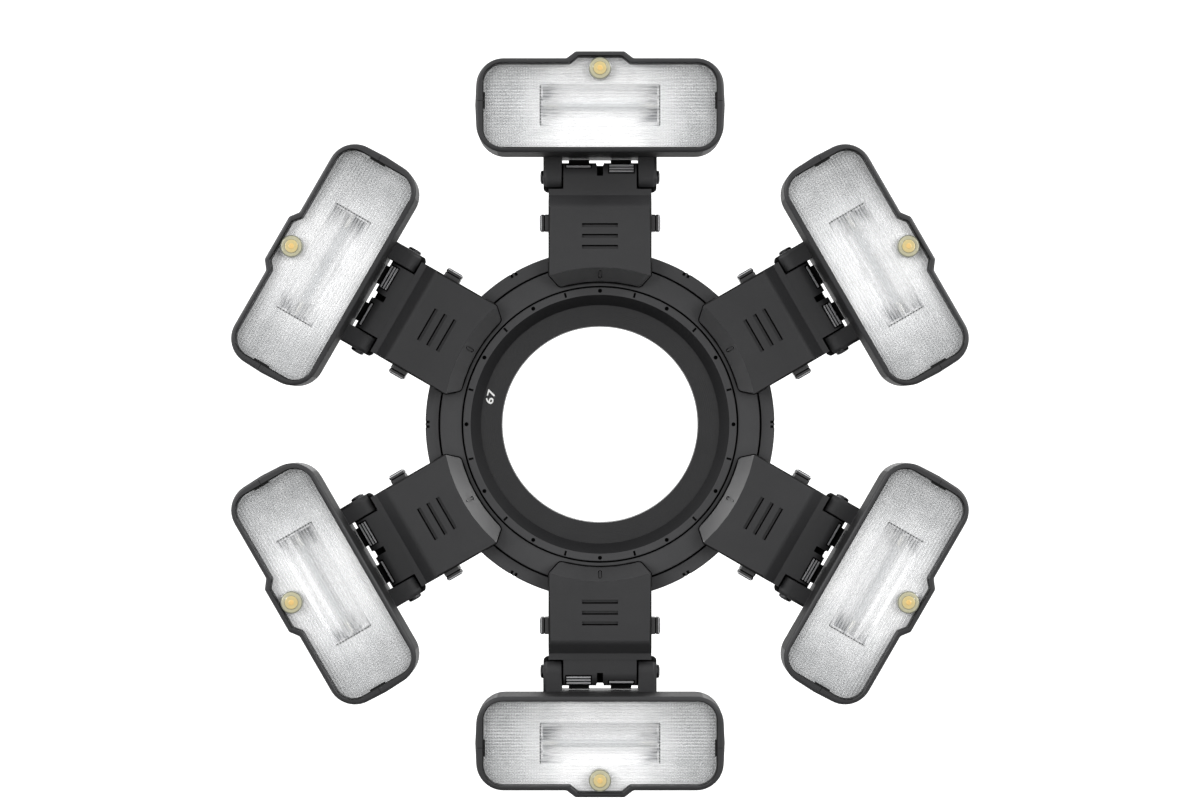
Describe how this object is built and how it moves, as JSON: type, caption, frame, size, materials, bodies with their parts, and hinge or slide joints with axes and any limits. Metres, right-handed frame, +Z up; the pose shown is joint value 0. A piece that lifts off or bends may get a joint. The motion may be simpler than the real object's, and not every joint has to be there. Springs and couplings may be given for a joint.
{
  "type": "macro flash",
  "caption": "Macro flash: small cordless flash heads on click hinges round a ring that screws into a lens's filter thread.",
  "frame": {"origin": "on the optical axis, in the plane where the adapter ring's shoulder seats on the lens rim", "axes": "+Y along the optical axis from the subject towards the camera, +Z up, +X to the right seen from the front; the lit front faces -Y"},
  "size_m": [0.2314, 0.052, 0.2342],
  "materials": {
    "adapter": "turned aluminium, black anodised",
    "ring": "moulded black ABS, fine spark texture",
    "shell": "moulded black ABS, fine spark texture",
    "bezel": "moulded black ABS, fine spark texture",
    "buttons": "semi-gloss black ABS",
    "pin": "blackened steel",
    "lens": "clear moulded polycarbonate with small prisms",
    "reflector": "vacuum-metallised plastic",
    "lamp": "yellow phosphor light-emitting diode",
    "mark": "white printing ink"
  },
  "bodies": {
    "adapter": {"adapter_ring": "adapter"},
    "ring": {"track_ring": "ring", "index_ring": "ring"},
    "foot_body_1": {"foot_1": "shell"},
    "head_body_1": {"rear_cover_1": "shell", "front_cover_1": "bezel", "front_lens_1": "lens", "flash_module_1": "reflector", "hinge_pin_1": "pin"},
    "left_button_body_1": {"button_left_1": "buttons"},
    "right_button_body_1": {"button_right_1": "buttons"},
    "door_body_1": {"battery_door_1": "shell"},
    "foot_body_2": {"foot_2": "shell"},
    "head_body_2": {"rear_cover_2": "shell", "front_cover_2": "bezel", "front_lens_2": "lens", "flash_module_2": "reflector", "hinge_pin_2": "pin"},
    "left_button_body_2": {"button_left_2": "buttons"},
    "right_button_body_2": {"button_right_2": "buttons"},
    "door_body_2": {"battery_door_2": "shell"},
    "foot_body_3": {"foot_3": "shell"},
    "head_body_3": {"rear_cover_3": "shell", "front_cover_3": "bezel", "front_lens_3": "lens", "flash_module_3": "reflector", "hinge_pin_3": "pin"},
    "left_button_body_3": {"button_left_3": "buttons"},
    "right_button_body_3": {"button_right_3": "buttons"},
    "door_body_3": {"battery_door_3": "shell"},
    "foot_body_4": {"foot_4": "shell"},
    "head_body_4": {"rear_cover_4": "shell", "front_cover_4": "bezel", "front_lens_4": "lens", "flash_module_4": "reflector", "hinge_pin_4": "pin"},
    "left_button_body_4": {"button_left_4": "buttons"},
    "right_button_body_4": {"button_right_4": "buttons"},
    "door_body_4": {"battery_door_4": "shell"},
    "foot_body_5": {"foot_5": "shell"},
    "head_body_5": {"rear_cover_5": "shell", "front_cover_5": "bezel", "front_lens_5": "lens", "flash_module_5": "reflector", "hinge_pin_5": "pin"},
    "left_button_body_5": {"button_left_5": "buttons"},
    "right_button_body_5": {"button_right_5": "buttons"},
    "door_body_5": {"battery_door_5": "shell"},
    "foot_body_6": {"foot_6": "shell"},
    "head_body_6": {"rear_cover_6": "shell", "front_cover_6": "bezel", "front_lens_6": "lens", "flash_module_6": "reflector", "hinge_pin_6": "pin"},
    "left_button_body_6": {"button_left_6": "buttons"},
    "right_button_body_6": {"button_right_6": "buttons"},
    "door_body_6": {"battery_door_6": "shell"}
  },
  "joints": [
    {"name": "ring_turn", "type": "hinge", "parent": "adapter", "child": "ring", "pos_m": [0, 0, 0], "axis": [0, 1, 0], "continuous": true},
    {"name": "orbit_1", "type": "hinge", "parent": "ring", "child": "foot_body_1", "pos_m": [0, 0, 0], "axis": [0, 1, 0], "range_deg": [-12, 12]},
    {"name": "tilt_1", "type": "hinge", "parent": "foot_body_1", "child": "head_body_1", "pos_m": [0, -0.0062, 0.0795], "axis": [1, 0, 0], "range_deg": [-45, 60]},
    {"name": "left_button_1", "type": "slide", "parent": "foot_body_1", "child": "left_button_body_1", "axis": [1, 0, 0], "range_m": [0, 0.0015], "stiffness_N_per_m": 400},
    {"name": "right_button_1", "type": "slide", "parent": "foot_body_1", "child": "right_button_body_1", "axis": [-1, 0, 0], "range_m": [0, 0.0015], "stiffness_N_per_m": 400},
    {"name": "door_1", "type": "hinge", "parent": "head_body_1", "child": "door_body_1", "pos_m": [0.029, 0.0262, 0.10015], "axis": [0, 0, -1], "range_deg": [0, 100]},
    {"name": "orbit_2", "type": "hinge", "parent": "ring", "child": "foot_body_2", "pos_m": [0, 0, 0], "axis": [0, 1, 0], "range_deg": [-12, 12]},
    {"name": "tilt_2", "type": "hinge", "parent": "foot_body_2", "child": "head_body_2", "pos_m": [0.06885, -0.0062, 0.03975], "axis": [0.5, 0, -0.866], "range_deg": [-45, 60]},
    {"name": "left_button_2", "type": "slide", "parent": "foot_body_2", "child": "left_button_body_2", "axis": [0.5, 0, -0.866], "range_m": [0, 0.0015], "stiffness_N_per_m": 400},
    {"name": "right_button_2", "type": "slide", "parent": "foot_body_2", "child": "right_button_body_2", "axis": [-0.5, 0, 0.866], "range_m": [0, 0.0015], "stiffness_N_per_m": 400},
    {"name": "door_2", "type": "hinge", "parent": "head_body_2", "child": "door_body_2", "pos_m": [0.10123, 0.0262, 0.02496], "axis": [-0.866, 0, -0.5], "range_deg": [0, 100]},
    {"name": "orbit_3", "type": "hinge", "parent": "ring", "child": "foot_body_3", "pos_m": [0, 0, 0], "axis": [0, 1, 0], "range_deg": [-12, 12]},
    {"name": "tilt_3", "type": "hinge", "parent": "foot_body_3", "child": "head_body_3", "pos_m": [0.06885, -0.0062, -0.03975], "axis": [-0.5, 0, -0.866], "range_deg": [-45, 60]},
    {"name": "left_button_3", "type": "slide", "parent": "foot_body_3", "child": "left_button_body_3", "axis": [-0.5, 0, -0.866], "range_m": [0, 0.0015], "stiffness_N_per_m": 400},
    {"name": "right_button_3", "type": "slide", "parent": "foot_body_3", "child": "right_button_body_3", "axis": [0.5, 0, 0.866], "range_m": [0, 0.0015], "stiffness_N_per_m": 400},
    {"name": "door_3", "type": "hinge", "parent": "head_body_3", "child": "door_body_3", "pos_m": [0.07223, 0.0262, -0.07519], "axis": [-0.866, 0, 0.5], "range_deg": [0, 100]},
    {"name": "orbit_4", "type": "hinge", "parent": "ring", "child": "foot_body_4", "pos_m": [0, 0, 0], "axis": [0, 1, 0], "range_deg": [-12, 12]},
    {"name": "tilt_4", "type": "hinge", "parent": "foot_body_4", "child": "head_body_4", "pos_m": [0, -0.0062, -0.0795], "axis": [-1, 0, 0], "range_deg": [-45, 60]},
    {"name": "left_button_4", "type": "slide", "parent": "foot_body_4", "child": "left_button_body_4", "axis": [-1, 0, 0], "range_m": [0, 0.0015], "stiffness_N_per_m": 400},
    {"name": "right_button_4", "type": "slide", "parent": "foot_body_4", "child": "right_button_body_4", "axis": [1, 0, 0], "range_m": [0, 0.0015], "stiffness_N_per_m": 400},
    {"name": "door_4", "type": "hinge", "parent": "head_body_4", "child": "door_body_4", "pos_m": [-0.029, 0.0262, -0.10015], "axis": [0, 0, 1], "range_deg": [0, 100]},
    {"name": "orbit_5", "type": "hinge", "parent": "ring", "child": "foot_body_5", "pos_m": [0, 0, 0], "axis": [0, 1, 0], "range_deg": [-12, 12]},
    {"name": "tilt_5", "type": "hinge", "parent": "foot_body_5", "child": "head_body_5", "pos_m": [-0.06885, -0.0062, -0.03975], "axis": [-0.5, 0, 0.866], "range_deg": [-45, 60]},
    {"name": "left_button_5", "type": "slide", "parent": "foot_body_5", "child": "left_button_body_5", "axis": [-0.5, 0, 0.866], "range_m": [0, 0.0015], "stiffness_N_per_m": 400},
    {"name": "right_button_5", "type": "slide", "parent": "foot_body_5", "child": "right_button_body_5", "axis": [0.5, 0, -0.866], "range_m": [0, 0.0015], "stiffness_N_per_m": 400},
    {"name": "door_5", "type": "hinge", "parent": "head_body_5", "child": "door_body_5", "pos_m": [-0.10123, 0.0262, -0.02496], "axis": [0.866, 0, 0.5], "range_deg": [0, 100]},
    {"name": "orbit_6", "type": "hinge", "parent": "ring", "child": "foot_body_6", "pos_m": [0, 0, 0], "axis": [0, 1, 0], "range_deg": [-12, 12]},
    {"name": "tilt_6", "type": "hinge", "parent": "foot_body_6", "child": "head_body_6", "pos_m": [-0.06885, -0.0062, 0.03975], "axis": [0.5, 0, 0.866], "range_deg": [-45, 60]},
    {"name": "left_button_6", "type": "slide", "parent": "foot_body_6", "child": "left_button_body_6", "axis": [0.5, 0, 0.866], "range_m": [0, 0.0015], "stiffness_N_per_m": 400},
    {"name": "right_button_6", "type": "slide", "parent": "foot_body_6", "child": "right_button_body_6", "axis": [-0.5, 0, -0.866], "range_m": [0, 0.0015], "stiffness_N_per_m": 400},
    {"name": "door_6", "type": "hinge", "parent": "head_body_6", "child": "door_body_6", "pos_m": [-0.07223, 0.0262, 0.07519], "axis": [0.866, 0, -0.5], "range_deg": [0, 100]}
  ]
}
